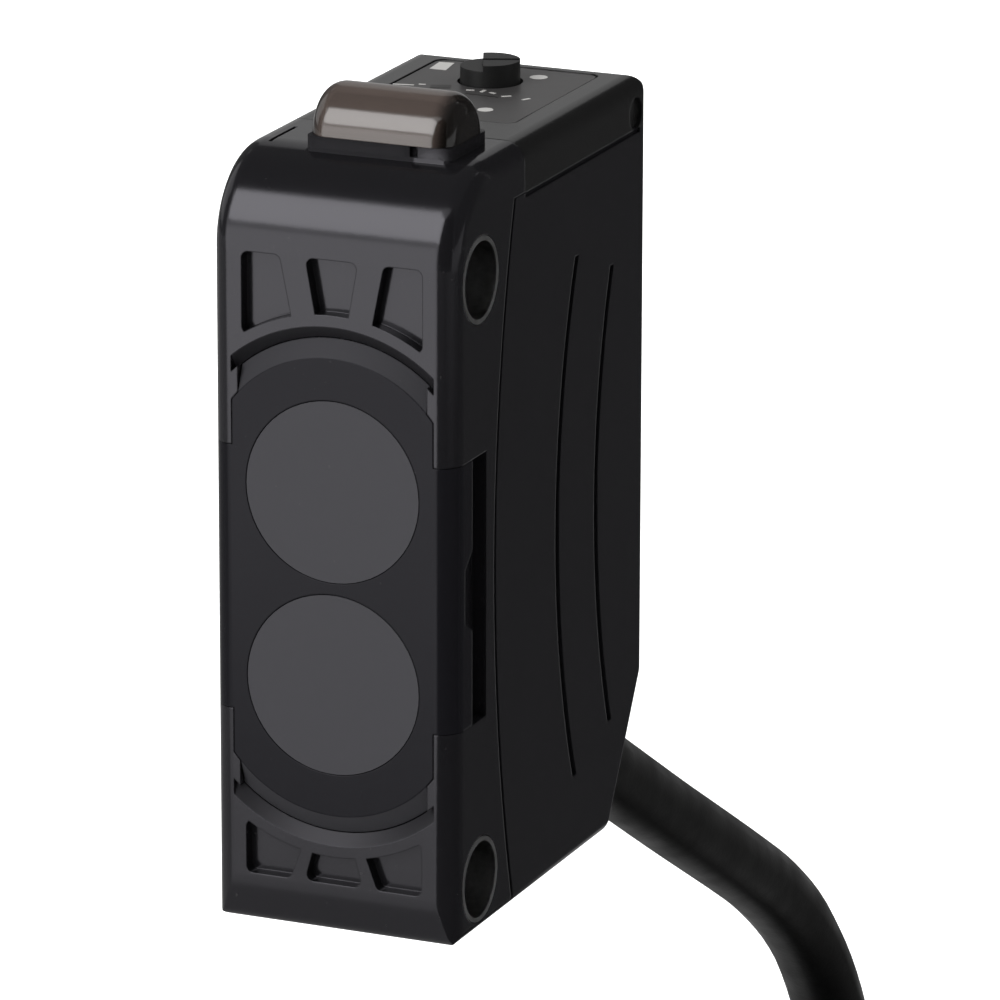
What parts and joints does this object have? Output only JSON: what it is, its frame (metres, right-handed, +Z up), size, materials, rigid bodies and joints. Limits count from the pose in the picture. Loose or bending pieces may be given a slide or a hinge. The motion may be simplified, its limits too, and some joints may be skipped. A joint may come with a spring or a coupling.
{
  "type": "photoelectric sensor",
  "caption": "Compact rectangular photoelectric sensor with two front lenses, side mounting holes, a top sensitivity dial, an indicator window and a cable with bare ends.",
  "frame": {"origin": "midway between the two mounting holes, in the middle of the case width", "axes": "+Z up along the case height, the lenses look along -Y, and the mounting holes run along X"},
  "size_m": [0.0192, 0.0694, 0.1265],
  "materials": {
    "case_plastic": "fine moulded texture, satin",
    "cover_plastic": "satin moulded plastic",
    "film": "printed grey film",
    "window_plastic": "polished dark filter plastic",
    "lens_plastic": "smooth dark grey filter plastic",
    "seal_rubber": "soft black rubber",
    "smoky_plastic": "smoky brown clear plastic",
    "board_green": "glass-fibre board with solder mask",
    "chip_black": "moulded epoxy",
    "led_clear": "clear epoxy",
    "led_orange": "orange LED chip",
    "led_green": "green LED chip",
    "trimmer_blue": "moulded plastic",
    "rotor_white": "moulded plastic",
    "capacitor_tan": "ceramic with tinned ends",
    "plated_steel": "nickel-plated steel",
    "dial_plastic": "satin black plastic",
    "cable_jacket": "black oil-resistant jacket",
    "tie_nylon": "black nylon",
    "wire_brown": "insulation",
    "wire_blue": "insulation",
    "wire_black": "insulation",
    "tinned_copper": "tinned copper strands",
    "lead_colours": "insulated leads"
  },
  "bodies": {
    "root": {"front_case": "case_plastic", "rear_case": "case_plastic", "top_cover": "cover_plastic", "control_film": "film", "front_window": "window_plastic", "emitter_lens": "lens_plastic", "receiver_lens": "lens_plastic", "window_seal": "seal_rubber", "optical_block": "chip_black", "emitter_led": "led_clear", "receiver_photodiode": "chip_black", "sensor_board": "board_green", "amplifier_chip": "chip_black", "shield_can": "plated_steel", "main_board": "board_green", "control_chip": "chip_black", "output_transistor": "chip_black", "capacitors": "capacitor_tan", "indicator_board": "board_green", "output_indicator": "led_orange", "stability_indicator": "led_green", "indicator_window": "smoky_plastic", "trimmer_body": "trimmer_blue", "dial_seal": "seal_rubber", "upper_sleeve": "plated_steel", "lower_sleeve": "plated_steel", "cable_bush": "seal_rubber", "cable_clamp": "plated_steel", "cable_root": "cable_jacket", "inner_leads": "lead_colours", "cable": "cable_jacket", "cable_coil": "cable_jacket", "cable_tail": "cable_jacket", "cable_tie": "tie_nylon", "brown_wire": "wire_brown", "blue_wire": "wire_blue", "black_wire": "wire_black", "wire_tips": "tinned_copper"},
    "dial": {"sensitivity_dial": "dial_plastic", "trimmer_rotor": "rotor_white"}
  },
  "joints": [
    {"name": "dial_turn", "type": "hinge", "parent": "root", "child": "dial", "pos_m": [-0.00015, 0.0138, 0.0172], "axis": [0, 0, 1], "range_deg": [-120, 120]}
  ]
}
